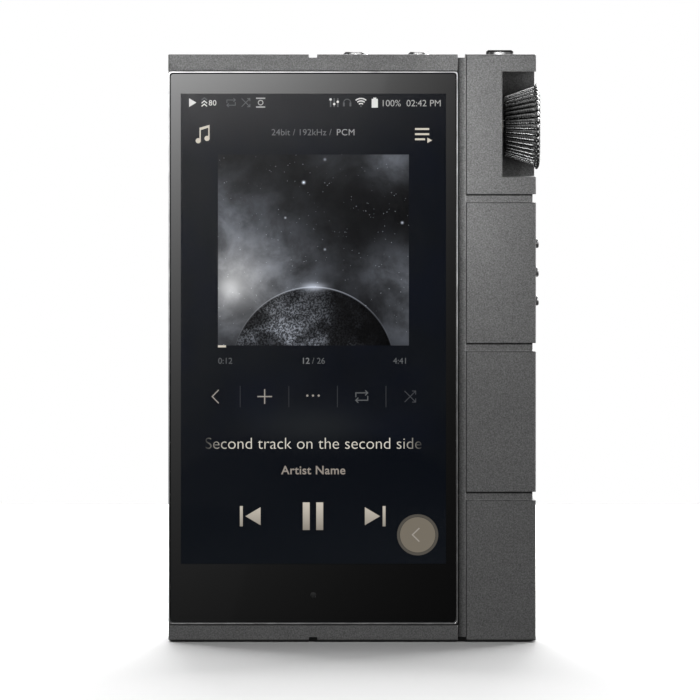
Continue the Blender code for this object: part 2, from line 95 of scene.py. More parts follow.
def feed(tree, socket, value):
    """Link a Field to a socket, or set a plain value on it."""
    if isinstance(value, Field):
        tree.links.new(value.socket, socket)
    else:
        socket.default_value = value


def wired(tree, node, inputs, output=0):
    """Feed some inputs of a node, given as pairs, and return one of its outputs as a Field."""
    for key, value in inputs:
        feed(tree, node.inputs[key], value)
    return Field(tree, node.outputs[output])


def sum_by(operation):
    return lambda field, other: field.math(operation, other)


class Field:
    """A value in a shader tree that can be used in sums."""

    __add__, __sub__, __mul__ = sum_by("ADD"), sum_by("SUBTRACT"), sum_by("MULTIPLY")
    __truediv__, __pow__ = sum_by("DIVIDE"), sum_by("POWER")

    def __init__(self, tree, socket):
        self.tree, self.socket = tree, socket

    def math(self, operation, *others):
        node = self.tree.nodes.new("ShaderNodeMath")
        node.operation = operation
        return wired(self.tree, node, enumerate((self, *others)))

    def ramp(self, low, high, start=0.0, end=1.0, kind="SMOOTHSTEP"):
        """start below low, end above high, and a soft step between them."""
        node = self.tree.nodes.new("ShaderNodeMapRange")
        node.interpolation_type = kind
        return wired(self.tree, node, enumerate((self, low, high, start, end)))

    def colours(self, first, second):
        """first where this is 0 and second where it is 1."""
        node = self.tree.nodes.new("ShaderNodeMix")
        node.data_type = "RGBA"
        ends = [end if isinstance(end, Field) else (*end, 1.0) for end in (first, second)]
        return wired(self.tree, node, ((0, self), (6, ends[0]), (7, ends[1])), 2)

    def of_colour(self, colour):
        """A colour at this strength, which may be over 1."""
        node = self.tree.nodes.new("ShaderNodeVectorMath")
        node.operation = "SCALE"
        return wired(self.tree, node, ((0, colour), ("Scale", self)))


class Look:
    """A Principled material whose patterns are written as fields of the object's own coordinates."""

    def __init__(self, name, colour=(0.5, 0.5, 0.5), roughness=0.5, metallic=0.0, **values):
        self.material = bpy.data.materials.new(name)
        self.material.use_nodes = True
        self.tree = self.material.node_tree
        self.shader = self.tree.nodes["Principled BSDF"]
        self.place = Field(self.tree, self.tree.nodes.new("ShaderNodeTexCoord").outputs["Object"])
        self.set("Base Color", (*colour, 1.0))
        self.set("Roughness", roughness)
        self.set("Metallic", metallic)
        for key, value in values.items():
            self.set(key.replace("_", " "), value)

    def set(self, socket, value):
        feed(self.tree, self.shader.inputs[socket], value)

    def node(self, kind, inputs, output=0):
        return wired(self.tree, self.tree.nodes.new(kind), inputs, output)

    def axes(self):
        node = self.tree.nodes.new("ShaderNodeSeparateXYZ")
        feed(self.tree, node.inputs[0], self.place)
        return [Field(self.tree, socket) for socket in node.outputs]

    def noise(self, size, detail=2.0, roughness=0.5, distortion=0.0, stretch=None):
        """Noise from 0 to 1 whose features are about size across."""
        place = self.place
        if stretch:
            place = self.node("ShaderNodeMapping", ((0, place), ("Scale", stretch)))
        inputs = {"Vector": place, "Scale": 1 / size, "Detail": detail, "Roughness": roughness,
                  "Distortion": distortion}
        return self.node("ShaderNodeTexNoise", inputs.items(), "Fac")

    def cells(self, size):
        """The distance to the middle of the nearest of many cells, each about size across."""
        return self.node("ShaderNodeTexVoronoi", (("Vector", self.place), ("Scale", 1 / size)), "Distance")

    def bump(self, height, distance, strength=1.0):
        inputs = {"Distance": distance, "Strength": strength, "Height": height}
        self.set("Normal", self.node("ShaderNodeBump", inputs.items()))


def grey(level):
    return (level, level, level)


def dimmed(colour, factor):
    return tuple(factor * part for part in colour)


# ---------------- materials

def band(value, low, high, soft=0.04 * MM):
    """1 between low and high, and 0 outside them."""
    return value.ramp(low - soft, low + soft) * value.ramp(high - soft, high + soft, 1.0, 0.0)


def groove_shade(look):
    """Painted shadows of the front grooves: beside the screen, and under the blocks. Each has a painted highlight
    line.
    """
    x, y, z = look.axes()
    half = GROOVE_WIDTH / 2
    on_floor = y.ramp(FRONT + 0.4 * MM, FRONT + 0.5 * MM) * y.ramp(FRONT + 2 * MM, FRONT + 3 * MM, 1.0, 0.0)
    on_edge = y.ramp(FRONT + 0.25 * MM, FRONT + 0.35 * MM, 1.0, 0.0)
    low, high = COLUMN_GROOVE - half, COLUMN_GROOVE + half
    # the column groove's floor: painted shade on its left, and a painted highlight line near its right
    fade = x.ramp(low, high, 0.20, 1.2, "LINEAR") + band(x, high - 0.25 * MM, high - 0.03 * MM) * 0.45
    shade = band(x, low, high) * on_floor * (fade - 1.0) + 1.0
    shade = shade * (band(x, high - 0.03 * MM, high + 0.16 * MM) * on_edge * -0.72 + 1.0)
    across = x.ramp(high - 0.05 * MM, high + 0.05 * MM) * on_floor
    blocks = x.ramp(COLUMN_GROOVE, COLUMN_GROOVE + 1 * MM)
    for middle_z in ROW_GROOVES:
        top, bottom = middle_z + half, middle_z - half
        # painted shadow under each block, and a painted highlight line at the groove's bottom
        under = band(z, top - 0.42 * MM, top + 0.1 * MM) * -0.72
        line = band(z, bottom + 0.05 * MM, bottom + 0.25 * MM) * 0.28
        shade = shade * (across * (under + line) + 1.0)
        shade = shade * (band(z, bottom - 0.17 * MM, bottom) * on_edge * blocks * -0.25 + 1.0)
    return shade


def pocket_shade(look):
    """Painted shade: the wheel's pocket darkens round the wheel."""
    x, y, z = look.axes()
    away = (z - WHEEL_AXIS.z).math("ABSOLUTE")
    inside = x.ramp(WHEEL_AXIS.x, WHEEL_AXIS.x + 0.1 * MM) * y.ramp(FRONT + 1 * MM, FRONT + 4 * MM)
    inside = inside * y.ramp(POCKET_BACK + 0.1 * MM, POCKET_BACK + 0.2 * MM, 1.0, 0.0)
    inside = inside * away.ramp(12.9 * MM, 13.2 * MM, 1.0, 0.0)
    return inside * (away.ramp(6.5 * MM, 13 * MM, 0.25, 0.95) - 1.0) + 1.0


def blasted_metal(name, level):
    """Bead-blasted and anodised aluminium: a fine sparkle over a slow, faint mottle, with painted shade in the
    grooves and round the wheel's pocket.
    """
    look = Look(name, metallic=1.0)
    grain = look.noise(0.32 * MM, 3, 0.75)
    mottle = look.noise(9 * MM, 3, 0.5)
    shade = groove_shade(look) * pocket_shade(look)
    # grain and mottle, times the painted shade of the grooves and the wheel's pocket
    tone = grain.ramp(0.30, 0.70, 0.58, 1.42, "LINEAR") * (mottle * 0.16 + 0.92) * shade * level
    tone = tone.math("MINIMUM", 1.0)
    look.set("Base Color", tone.colours(grey(0.0), grey(1.0)))
    look.set("Roughness", grain.ramp(0.3, 0.7, 0.52, 0.42, "LINEAR"))
    look.bump(look.noise(0.22 * MM, 3, 0.7), 0.02 * MM, 0.55)
    return look.material


def tool_marks(look, roughness, streak=(1.0, 1.0, 1.0)):
    """Faint tool marks and a little haze on cut metal. It returns the marks."""
    marks = look.noise(0.25 * MM, 4, 0.7, stretch=streak)
    haze = look.noise(4 * MM, 3, 0.6)
    look.set("Roughness", haze.ramp(0.3, 0.7, roughness * 0.8, roughness * 1.25, "LINEAR"))
    look.bump(marks, 0.004 * MM, 0.35)
    return marks


def polished_metal(name, level, roughness, streak=(1.0, 1.0, 1.0), tint=(1.0, 1.0, 1.0)):
    look = Look(name, metallic=1.0)
    marks = tool_marks(look, roughness, streak)
    high = tuple(min(1.0, part) for part in dimmed(tint, level * 1.08))
    look.set("Base Color", marks.ramp(0.3, 0.7).colours(dimmed(tint, level * 0.86), high))
    return look.material


def rim_metal():
    """Bright cut metal of the screen's rim. Painted shade darkens its lower half."""
    look = Look("frame_metal", metallic=1.0)
    # tool marks, times painted shade that darkens the rim towards the bottom
    tone = tool_marks(look, 0.42).ramp(0.3, 0.7, 0.8, 1.0) * look.axes()[Z].ramp(40 * MM, 95 * MM, 0.47, 1.0)
    look.set("Base Color", tone.colours(grey(0.0), grey(0.918)))
    return look.material


def seal_rubber():
    """Black seal round the glass. It has a painted sheen on the right and at the bottom, where it faces the light.
    """
    look = Look("gasket_rubber", roughness=0.85)
    x, _, z = look.axes()
    # painted sheen: lighter on the right between two heights, and at the bottom
    right = x.ramp(0.0, 10 * MM) * z.ramp(8 * MM, 78 * MM, 0.10, 1.0) * z.ramp(84 * MM, 126 * MM, 1.0, 0.12)
    bottom = z.ramp(4.4 * MM, 6 * MM, 0.8, 0.0)
    patches = look.noise(3 * MM).ramp(0.3, 0.7, 0.92, 1.08, "LINEAR")
    look.set("Base Color", ((right + bottom) * patches).colours(grey(0.006), grey(0.2)))
    return look.material


def wheel_metal():
    """Dark anodised wheel: fine turned rings cross its ribs. Painted shade darkens the valleys between the ribs,
    and the wheel where it enters the case.
    """
    look = Look("wheel_metal", metallic=1.0)
    marks = look.noise(0.3 * MM, 4, 0.7, stretch=(0.15, 1.0, 1.0))
    x, y, z = look.axes()
    radius = (y ** 2 + z ** 2) ** 0.5
    turn = y.math("ARCTAN2", z) * (RIBS / 2)
    # painted shade in the valleys between the ribs
    crest = turn.math("COSINE").math("ABSOLUTE").ramp(0.0, 0.55, 0.1, 1.0)
    # tool marks, and lighter at larger radius
    marks_and_radius = marks.ramp(0.3, 0.7) * 0.4 + radius.ramp(7 * MM, 10.2 * MM) * 0.6
    # painted shade where the wheel enters the case, darkest at the pocket wall
    inside = x.ramp(0.4 * MM, 4.5 * MM, 0.02, 1.0)
    look.set("Base Color", (marks_and_radius * inside * crest).colours(grey(0.02), grey(0.44)))
    look.set("Roughness", marks.ramp(0.3, 0.7, 0.22, 0.32, "LINEAR"))
    rings = (x * (2 * pi / (0.55 * MM)) + turn).math("SINE") * 0.5 + 0.5
    look.bump(rings * 0.7 + marks * 0.3, 0.035 * MM, 0.6)
    return look.material


def plastic(name, colour, roughness, relief=0.01 * MM):
    look = Look(name)
    grain = look.noise(0.3 * MM, 3, 0.6)
    look.set("Base Color", grain.colours(dimmed(colour, 0.8), dimmed(colour, 1.2)))
    look.set("Roughness", grain.ramp(0.3, 0.7, roughness * 0.85, roughness * 1.15, "LINEAR"))
    look.bump(grain, relief, 0.5)
    return look.material


def circuit_board():
    look = Look("circuit_board", roughness=0.45)
    pads = look.cells(1.6 * MM).ramp(0.16, 0.2, 1.0, 0.0)
    weave = look.noise(0.5 * MM, 2, 0.5)
    mask = weave.colours((0.010, 0.055, 0.030), (0.016, 0.085, 0.045))
    look.set("Base Color", pads.colours(mask, (0.60, 0.45, 0.16)))
    look.set("Metallic", pads * 0.9)
    return look.material


def clear_glass():
    """The see-through window. It bends and mirrors nothing: the picture behind it has the gloss."""
    look = Look("clear_glass", colour=grey(1.0), Transmission_Weight=1.0, IOR=1.0, Specular_IOR_Level=0.0)
    look.set("Roughness", look.noise(11 * MM, 4, 0.6).ramp(0.35, 0.75, 0.0, 0.004, "LINEAR"))
    return look.material


def glowing(name):
    """A lit look with the faint gloss of the glass over it."""
    return Look(name, colour=grey(0.0), roughness=0.6, Specular_IOR_Level=0.0, Emission_Strength=1.0,
                Coat_Weight=1.0, Coat_Roughness=0.015, Coat_IOR=1.22)


def printed_border():
    """Black print under gloss glass."""
    look = Look("printed_border", Coat_Weight=1.0, Coat_Roughness=0.015, Coat_IOR=1.7, Specular_IOR_Level=0.0)
    grain = look.noise(0.3 * MM, 2, 0.5)
    look.set("Base Color", grain.colours((0.0035, 0.0035, 0.0036), (0.0050, 0.0050, 0.0051)))
    look.set("Roughness", grain.ramp(0.3, 0.7, 0.75, 0.85, "LINEAR"))
    return look.material


def lit(name, colour):
    """A lit part of the picture. The columns of the screen's dots show as a faint ripple."""
    look = glowing(name)
    dots = (look.axes()[X] * (2 * pi / (0.18 * MM))).math("SINE") * 0.5 + 0.5
    look.set("Emission Color", dots.colours(dimmed(colour, 0.92), colour))
    return look.material


def warm_fade(name, top, bottom, z_top, z_bottom):
    """A lit part whose colour runs from top to bottom."""
    look = glowing(name)
    z = look.axes()[Z]
    look.set("Emission Color", z.ramp(z_bottom, z_top, kind="LINEAR").colours(bottom, top))
    return look.material


def edge_fade(name, colour, backdrop, centre, full, gone):
    """Lit lettering that sinks into the backdrop at both ends of its line."""
    look = glowing(name)
    offset = (look.axes()[X] - centre).math("ABSOLUTE")
    look.set("Emission Color", offset.ramp(full, gone).colours(colour, backdrop))
    return look.material


# ---------------- screen coordinates

def at(right, down):
    """World X and Z of a place on the picture, in millimetres from its top left corner."""
    return SCREEN_LEFT + right * MM, SCREEN_TOP - down * MM


def wallpaper():
    """Blue-black picture: faint clouds and the top of a large dark disc behind the lower controls."""
    look = glowing("wallpaper")
    x, _, z = look.axes()
    centre_x, centre_z = at(SCREEN_WIDTH / 2, 137.0)
    disc_radius = 57.5 * MM
    away = ((x - centre_x) ** 2 + (z - centre_z) ** 2) ** 0.5
    inside = away.ramp(disc_radius - 2.5 * MM, disc_radius + 1.5 * MM, 1.0, 0.0)
    below = (z * -1 + centre_z).ramp(-disc_radius, -disc_radius * 0.3)
    clouds = look.noise(26 * MM, 3, 0.45).ramp(0.3, 0.7)
    blue = look.noise(15 * MM, 2, 0.4).ramp(0.35, 0.7)
    sky = clouds.colours((0.0032, 0.0042, 0.0064), (0.0058, 0.0070, 0.0092))
    tinted = (blue * 0.5).colours(sky, (0.0036, 0.0052, 0.0120))
    ground = below.colours((0.0026, 0.0036, 0.0062), (0.0052, 0.0066, 0.0090))
    across, depth = (x - centre_x) * (1 / (13 * MM)), (z - centre_z - disc_radius) * (1 / (4.5 * MM))
    crown = ((across ** 2 + depth ** 2) * -1).math("EXPONENT") * 0.75
    picture = crown.colours(inside.colours(tinted, ground), (0.0150, 0.0172, 0.0195))
    left, top = at(0, 0)
    corner = z.ramp(top - 17 * MM, top) * x.ramp(left, left + 58 * MM, 1.0, 0.15, "LINEAR")
    look.set("Emission Color", corner.colours(picture, (0.031, 0.031, 0.034)))
    return look.material


def album_picture():
    """Generic night sky: clouds of light, stars, a low sun and the edge of a dark globe."""
    look = glowing("album_picture")
    x, _, z = look.axes()
    left, top = at((SCREEN_WIDTH - ALBUM_SIDE) / 2, ALBUM_TOP)
    right = (x - left) / (ALBUM_SIDE * MM)
    down = (z * -1 + top) / (ALBUM_SIDE * MM)

    def near(cx, cy, spread):
        away = (right - cx) ** 2 + (down - cy) ** 2
        return (away * (-1 / spread ** 2)).math("EXPONENT")

    def glows(*spots):
        """The sum of round glows, each given by its place, its spread and its strength."""
        first, *others = [near(cx, cy, spread) * strength for cx, cy, spread, strength in spots]
        return sum(others, first)

    clouds = look.noise(13 * MM, 9, 0.60, 0.25).ramp(0.36, 0.72, 0.25, 1.25)
    wisps = look.noise(6 * MM, 8, 0.62, 0.3).ramp(0.50, 0.78)
    left_haze = glows((-0.05, 0.50, 0.33, 0.11), (0.12, 0.70, 0.28, 0.17), (0.36, 0.60, 0.20, 0.06),
                      (-0.02, 0.24, 0.15, 0.08), (0.03, 0.38, 0.12, 0.03))
    right_haze = glows((0.91, 0.02, 0.13, 0.14), (0.95, 0.66, 0.16, 0.13), (0.70, 0.64, 0.18, 0.02),
                       (0.98, 0.90, 0.13, 0.09))
    upper_haze = glows((0.58, 0.03, 0.12, 0.035), (0.30, 0.24, 0.12, 0.02))
    haze = clouds * (left_haze + right_haze + upper_haze + 0.003) + wisps * (left_haze + right_haze) * 0.45
    haze = haze + near(0.12, 0.62, 0.14) * 0.15
    sun = glows((0.06, 0.70, 0.058, 0.32), (0.08, 0.71, 0.11, 0.12))
    chosen = look.noise(1.5 * MM, 0).ramp(0.50, 0.72)
    small_stars = look.cells(0.75 * MM).ramp(0.05, 0.13, 1.0, 0.0) * chosen * 0.6
    stars = glows((0.449, 0.146, 0.0065, 1.1), (0.353, 0.331, 0.0045, 0.5), (0.965, 0.357, 0.0055, 0.6),
                  (0.56, 0.026, 0.006, 0.3), (0.56, 0.497, 0.005, 0.4))
    sky = haze + sun + small_stars + stars + 0.0015

    radius, globe_x, globe_y = 0.425, 0.5, 1.118
    away = ((right - globe_x) ** 2 + (down - globe_y) ** 2) ** 0.5
    globe = away.ramp(radius - 0.004, radius, 1.0, 0.0)
    sand = look.noise(0.45 * MM, 2, 0.9).ramp(0.46, 0.58)
    lands = look.noise(9 * MM, 4, 0.6).ramp(0.44, 0.60)
    ground = (lands * 0.85 + 0.15) * (sand * 0.85 + 0.15) * near(0.36, 1.0, 0.22) * 0.42 + 0.0010
    rim_light = near(0.5, 0.69, 0.30)
    rim = away.ramp(radius - 0.007, radius, kind="LINEAR") * away.ramp(radius, radius + 0.003, 1.0, 0.0)
    flare = (right - 0.5) ** 2 * (-1 / 0.055 ** 2) + (down - 0.693) ** 2 * (-1 / 0.018 ** 2)
    flash = flare.math("EXPONENT") * 0.40 + near(0.5, 0.68, 0.045) * 0.06
    level = globe * ground + (globe * -1 + 1) * sky + rim * rim_light * 0.35 + flash
    cool = (clouds * 0.7).colours((0.84, 0.89, 1.0), (0.78, 0.85, 1.0))
    cool = near(0.07, 0.68, 0.22).colours(cool, (0.97, 0.98, 1.0))
    look.set("Emission Color", level.of_colour(cool))
    return look.material


# ---------------- shape helpers

def placed(name, data, location=(0, 0, 0), turn=(0, 0, 0)):
    """A new object in the scene."""
    thing = bpy.data.objects.new(name, data)
    thing.location = location
    thing.rotation_euler = turn
    bpy.context.scene.collection.objects.link(thing)
    return thing


def mesh_of(bm, name, material):
    mesh = bpy.data.meshes.new(name)
    bm.to_mesh(mesh)
    bm.free()
    mesh.materials.append(material)
    return mesh


def flat_faces_first(piece):
    """Large flat faces keep their own normals, and the roundings beside them bend to meet these."""
    normals = piece.modifiers.new("flat_faces_first", "WEIGHTED_NORMAL")
    normals.keep_sharp = True
    normals.weight = 100


def add_piece(name, bm, material, body="case", location=(0, 0, 0), smooth_angle=0.6, weighted=True):
    bmesh.ops.recalc_face_normals(bm, faces=bm.faces)
    mesh = mesh_of(bm, name, material)
    mesh.shade_smooth()
    mesh.set_sharp_from_angle(angle=smooth_angle)
    piece = placed(name, mesh, location)
    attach(piece, body)
    if weighted:
        flat_faces_first(piece)
    return piece


def refined(node, name, material, rounding):
    """A copy of a CAD node with its flat faces made whole again and its edges rounded."""
    bm = bmesh.new()
    bm.from_mesh(frame["nodes"][node].data)
    bm.transform(frame["nodes"][node].matrix_world)
    bmesh.ops.remove_doubles(bm, verts=bm.verts, dist=0.002 * MM)
    bmesh.ops.dissolve_limit(bm, angle_limit=0.01, verts=bm.verts, edges=bm.edges)
    piece = add_piece(name, bm, material, smooth_angle=0.5, weighted=False)
    bevel = piece.modifiers.new("rounding", "BEVEL")
    bevel.width = rounding
    bevel.segments = 2
    bevel.limit_method = "ANGLE"
    bevel.angle_limit = 0.6
    flat_faces_first(piece)
    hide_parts(node)
    return piece


def turned_rings(profile, segments, axis, shape=None):
    """A bmesh of a profile of (along, radius) points spun round an axis.
    shape(along, radius, angle) may give another radius."""
    bm = bmesh.new()
    rings = []
    for along, radius in profile:
        ring = []
        for step in range(segments if radius > 0 else 1):
            angle = 2 * pi * step / segments
            reach = shape(along, radius, angle) if shape and radius > 0 else radius
            spun = (along, reach * cos(angle), reach * sin(angle))
            ring.append(bm.verts.new(spun[-axis:] + spun[:-axis]))
        rings.append(ring)
    pairs = list(zip(rings, rings[1:]))
    if len(rings[0]) > 1:
        pairs.append((rings[-1], rings[0]))
    for first, second in pairs:
        for step in range(segments):
            after = (step + 1) % segments
            around = [first[step % len(first)], first[after % len(first)],
                      second[after % len(second)], second[step % len(second)]]
            bm.faces.new(list(dict.fromkeys(around)))
    return bm


def turned(name, profile, centre, axis, material, body="case", segments=64, shape=None, angle=0.6):
    bm = turned_rings(profile, segments, axis, shape)
    return add_piece(name, bm, material, body, centre, angle)


def profile_from(base, *points):
    """Profile points in metres. They are given in millimetres, and the first number starts at base."""
    return [(base + along * MM, radius * MM) for along, radius in points]


def arc(cx, cy, radius, start, end, steps):
    """Points on an arc, in degrees."""
    turns = [(start + (end - start) * i / steps) * pi / 180 for i in range(steps + 1)]
    return [(cx + radius * cos(t), cy + radius * sin(t)) for t in turns]


def rounded(low, high, radius, steps=6):
    """A rectangle in X and Z with round corners."""
    left, right, bottom, top = low.x + radius, high.x - radius, low.z + radius, high.z - radius
    middles = [(right, top), (left, top), (left, bottom), (right, bottom)]
    return [point for i, (cx, cz) in enumerate(middles)
            for point in arc(cx, cz, radius, 90 * i, 90 * i + 90, steps)]


def plate_bmesh(outline, front, back):
    """An outline in X and Z, made solid from front to back."""
    bm = bmesh.new()
    face = bm.faces.new([bm.verts.new((x, front, z)) for x, z in outline])
    moved = bmesh.ops.extrude_face_region(bm, geom=[face])["geom"]
    verts = [v for v in moved if isinstance(v, bmesh.types.BMVert)]
    bmesh.ops.translate(bm, vec=(0, back - front, 0), verts=verts)
    return bm


# ---------------- picture on the screen, in millimetres

LAYER = 0.012 * MM


def flat_piece(name, outlines, material, layer=1):
    """Flat shapes of the picture as one thin plate. An outline inside another one is a hole in it."""
    curve = bpy.data.curves.new(name, "CURVE")
    curve.dimensions = "2D"
    curve.fill_mode = "BOTH"
    curve.extrude = LAYER / 2
    for outline in outlines:
        spline = curve.splines.new("POLY")
        spline.points.add(len(outline) - 1)
        for point, (x, z) in zip(spline.points, outline):
            point.co = (x, z, 0, 1)
        spline.use_cyclic_u = True
    return place_flat(name, curve, material, layer)


def place_flat(name, curve, material, layer, x=0.0, z=0.0):
    """A curve of the picture as a mesh, upright and in its layer."""
    drawn = placed(name, curve, (x, PICTURE_Y - layer * 2 * LAYER, z), UPRIGHT)
    bpy.context.view_layer.update()
    mesh = bpy.data.meshes.new_from_object(drawn)
    mesh.transform(drawn.matrix_world)
    bpy.data.objects.remove(drawn)
    mesh.materials.clear()
    mesh.materials.append(material)
    piece = placed(name, mesh)
    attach(piece, "case")
    return piece


def words(name, text, right, down, height, material, align="LEFT", weight=0.0, spacing=1.0):
    """Lettering whose capitals are height tall, standing on the line at down."""
    curve = bpy.data.curves.new(name, "FONT")
    curve.body = text
    curve.size = height * MM / 0.70
    curve.align_x = align
    curve.offset = weight * MM
    curve.space_character = spacing
    curve.extrude = LAYER / 2
    x, z = at(right, down)
    return place_flat(name, curve, material, 1, x, z)


def stroke(points, width):
    """The outline of a line of even width through some points."""
    left, right = [], []
    for i, point in enumerate(points):
        pairs = list(zip(points[max(0, i - 1):i + 1], points[max(1, i):i + 2]))
        steps = [Vector((after[0] - before[0], after[1] - before[1])).normalized() for before, after in pairs]
        along = sum(steps, Vector((0, 0))).normalized()
        reach = width * MM / 2 / max(0.3, abs(along.dot(steps[0])))
        left.append((point[0] - along.y * reach, point[1] + along.x * reach))
        right.append((point[0] + along.y * reach, point[1] - along.x * reach))
    return [left + right[::-1]]


def path(right, down, points):
    """Points given from a place on the picture, +Y up."""
    x, z = at(right, down)
    return [(x + a * MM, z + b * MM) for a, b in points]


def bar(right, down, width, height):
    """A rectangle given by its centre."""
    a, b = width / 2, height / 2
    return path(right, down, [(-a, -b), (a, -b), (a, b), (-a, b)])


def disc(right, down, radius, steps=40):
    return path(right, down, arc(0, 0, radius, 0, 360, steps)[:-1])


def ring(right, down, outer, inner, steps=64):
    return [disc(right, down, outer, steps), disc(right, down, inner, steps)]


def repeat_icon(right, down, half, line):
    """Two hooked arrows that chase each other."""
    low, tip = half * 0.62, half * 0.42
    hook = [(-half, -0.1 * half), (-half, low), (half - 0.1, low)]
    head = [(half - tip, low + tip), (half, low), (half - tip, low - tip)]
    return [shape for sign in (1, -1) for points in (hook, head)
            for shape in stroke(path(right, down, [(a * sign, b * sign) for a, b in points]), line)]


def shuffle_icon(right, down, half, line):
    """Two crossing arrows."""
    slope = [(-half, -half), (half, half)]
    head = [(half * 0.35, half), (half, half), (half, half * 0.35)]
    return [shape for sign in (1, -1) for points in (slope, head)
            for shape in stroke(path(right, down, [(a, b * sign) for a, b in points]), line)]


def separate(name, shapes, material, layer=1):
    """Shapes that touch or cross, as one piece per shape, each a hair in front of the last."""
    for i, shape in enumerate(shapes):
        flat_piece(f"{name}_{i + 1}", [shape], material, layer + 0.25 * i)


def status_row(white, soft, dim):
    row = 2.15
    battery = [(-0.74, -1.2), (0.74, -1.2), (0.74, 0.9), (0.36, 0.9), (0.36, 1.2), (-0.36, 1.2),
               (-0.36, 0.9), (-0.74, 0.9)]
    flat_piece("status_play", [path(2.85, row, [(-0.88, -1.05), (0.88, 0), (-0.88, 1.05)])], white)
    flat_piece("status_battery", [path(46.3, row, battery)], white)
    slots = [35.75 + 0.86 * i for i in range(3)]
    flat_piece("status_levels", [bar(right, row, 0.34, 2.1) for right in slots], dim)
    knobs = [disc(right, row + drop, 0.30, 20) for right, drop in zip(slots, (-0.75, 0.35, -0.2))]
    flat_piece("status_level_knobs", knobs, white, 2)
    for i, (lift, look) in enumerate(((0.95, dim), (0.2, white), (-0.55, white))):
        line = path(5.6, row, [(-0.66, lift - 0.36), (0, lift + 0.22), (0.66, lift - 0.36)])
        flat_piece(f"status_chevron_{i + 1}", stroke(line, 0.24), look)
    words("status_level", "80", 6.62, 2.83, 1.3, white, spacing=1.05)
    separate("status_repeat", repeat_icon(12.0, row, 1.0, 0.2), dim)
    separate("status_shuffle", shuffle_icon(15.5, row, 0.98, 0.2), dim)
    flat_piece("status_bars", [bar(19.05, down, 2.2, 0.3) for down in (1.12, 3.2)], soft)
    flat_piece("status_loop", ring(19.05, row, 0.66, 0.44, 32), soft)
    flat_piece("status_headphones", stroke(path(39.7, row, arc(0, 0, 0.82, 8, 172, 16)), 0.2), dim)
    flat_piece("status_ear_pads", [bar(39.7 + side * 0.78, row + 0.42, 0.42, 0.95) for side in (-1, 1)], dim)
    for i, radius in enumerate((0.75, 1.35, 1.95)):
        wave = path(43.0, row + 0.95, arc(0, 0, radius, 50, 130, 12))
        flat_piece(f"status_wave_{i + 1}", stroke(wave, 0.28), white)
    flat_piece("status_wave_dot", [disc(43.0, row + 0.85, 0.2, 16)], dim)
    words("status_clock", "100%  02:42 PM", 47.75, 3.03, 1.55, soft, weight=-0.01)


def heading(cream, rate_look, name_look):
    note_x, note_down, base = 5.2, 9.9, 9.95
    stems = [(-0.75, -1.3), (-0.45, -1.3), (-0.45, 1.2), (1.35, 1.75), (1.35, -0.75), (1.65, -0.75),
             (1.65, 2.45), (-0.75, 1.75)]
    heads = [disc(note_x - 1.05, note_down + 1.35, 0.62, 28), disc(note_x + 1.05, note_down + 0.8, 0.62, 28)]
    flat_piece("note_stems", [path(note_x, note_down, stems)], cream)
    flat_piece("note_heads", heads, cream, 2)
    words("format_rate", "24bit / 192kHz /", 21.6, base, 1.5, rate_look, spacing=1.02)
    words("format_name", "PCM", 37.1, base, 1.5, name_look, spacing=1.1)
    lines = [bar(57.6, 8.45, 3.4, 0.45), bar(57.6, 9.68, 3.4, 0.45), bar(57.1, 10.9, 2.4, 0.45)]
    flat_piece("playlist_lines", lines, cream)
    flat_piece("playlist_arrow", [path(59.4, 11.15, [(-0.55, -0.63), (0.6, 0), (-0.55, 0.63)])], cream)


def progress(cream, dim, mid):
    left, centre, base, height = (SCREEN_WIDTH - ALBUM_SIDE) / 2, SCREEN_WIDTH / 2, 64.5, 1.42
    flat_piece("progress_mark", [bar(left + 0.95, 60.35, 1.9, 0.5)], cream, 2)
    words("time_played", "0:12", left, base, height, dim)
    words("track_number", "12", centre - 2.9, base, height, mid, weight=0.02)
    words("track_count", "/ 26", centre - 0.35, base, height, dim)
    words("time_left", "4:41", left + ALBUM_SIDE - 0.3, base, height, dim, "RIGHT")


def icon_row(warm, grey_look, dark, line_look):
    row = 72.35
    places = [8.3, 20.0, 31.55, 43.2, 54.75]
    flat_piece("icon_back", stroke(path(places[0], row, [(0.72, 1.6), (-0.82, 0), (0.72, -1.6)]), 0.24), warm)
    flat_piece("icon_plus_across", [bar(places[1], row, 3.5, 0.27)], warm)
    flat_piece("icon_plus_up", [bar(places[1], row, 0.27, 3.5)], warm, 1.3)
    flat_piece("icon_more", [disc(places[2] + i * 1.36, row - 0.22, 0.26, 24) for i in (-1, 0, 1)], warm)
    separate("icon_repeat", repeat_icon(places[3], row, 1.42, 0.24), grey_look)
    separate("icon_shuffle", shuffle_icon(places[4], row, 1.32, 0.2), dark)
    rules = [bar((a + b) / 2, row, 0.16, 5.1) for a, b in zip(places, places[1:])]
    flat_piece("icon_rules", rules, line_look)


def titles(title_look, artist_look):
    centre, title = SCREEN_WIDTH / 2, "Second track on the second side"
    words("track_title", title, centre, 84.85, 2.75, title_look, "CENTER", weight=-0.045)
    words("artist_name", "Artist Name", centre, 90.9, 2.0, artist_look, "CENTER", weight=0.04, spacing=1.06)


def transport(look):
    row, centre = 100.95, SCREEN_WIDTH / 2
    shapes = [bar(centre - 1.72, row, 1.66, 6.6), bar(centre + 1.5, row, 1.66, 6.6)]
    for right, sign in ((centre - 14.45, -1), (centre + 14.1, 1)):
        shapes.append(path(right, row, [(-1.82 * sign, -2.15), (1.82 * sign, 0), (-1.82 * sign, 2.15)]))
        shapes.append(bar(right + sign * 2.78, row, 0.7, 4.85))
    flat_piece("transport_keys", shapes, look)


def floating_button(disc_look, ring_look, line_look, mark_look):
    right, down = 56.55, 105.4
    flat_piece("round_key_rim", ring(right, down, 4.92, 4.35), ring_look, 3)
    flat_piece("round_key_line", ring(right, down, 4.35, 4.22), line_look, 3)
    flat_piece("round_key_face", [disc(right, down, 4.22, 64)], disc_look, 3)
    chevron = path(right - 0.45, down, [(0.85, 1.6), (-0.8, 0), (0.85, -1.6)])
    flat_piece("round_key_mark", stroke(chevron, 0.3), mark_look, 4)


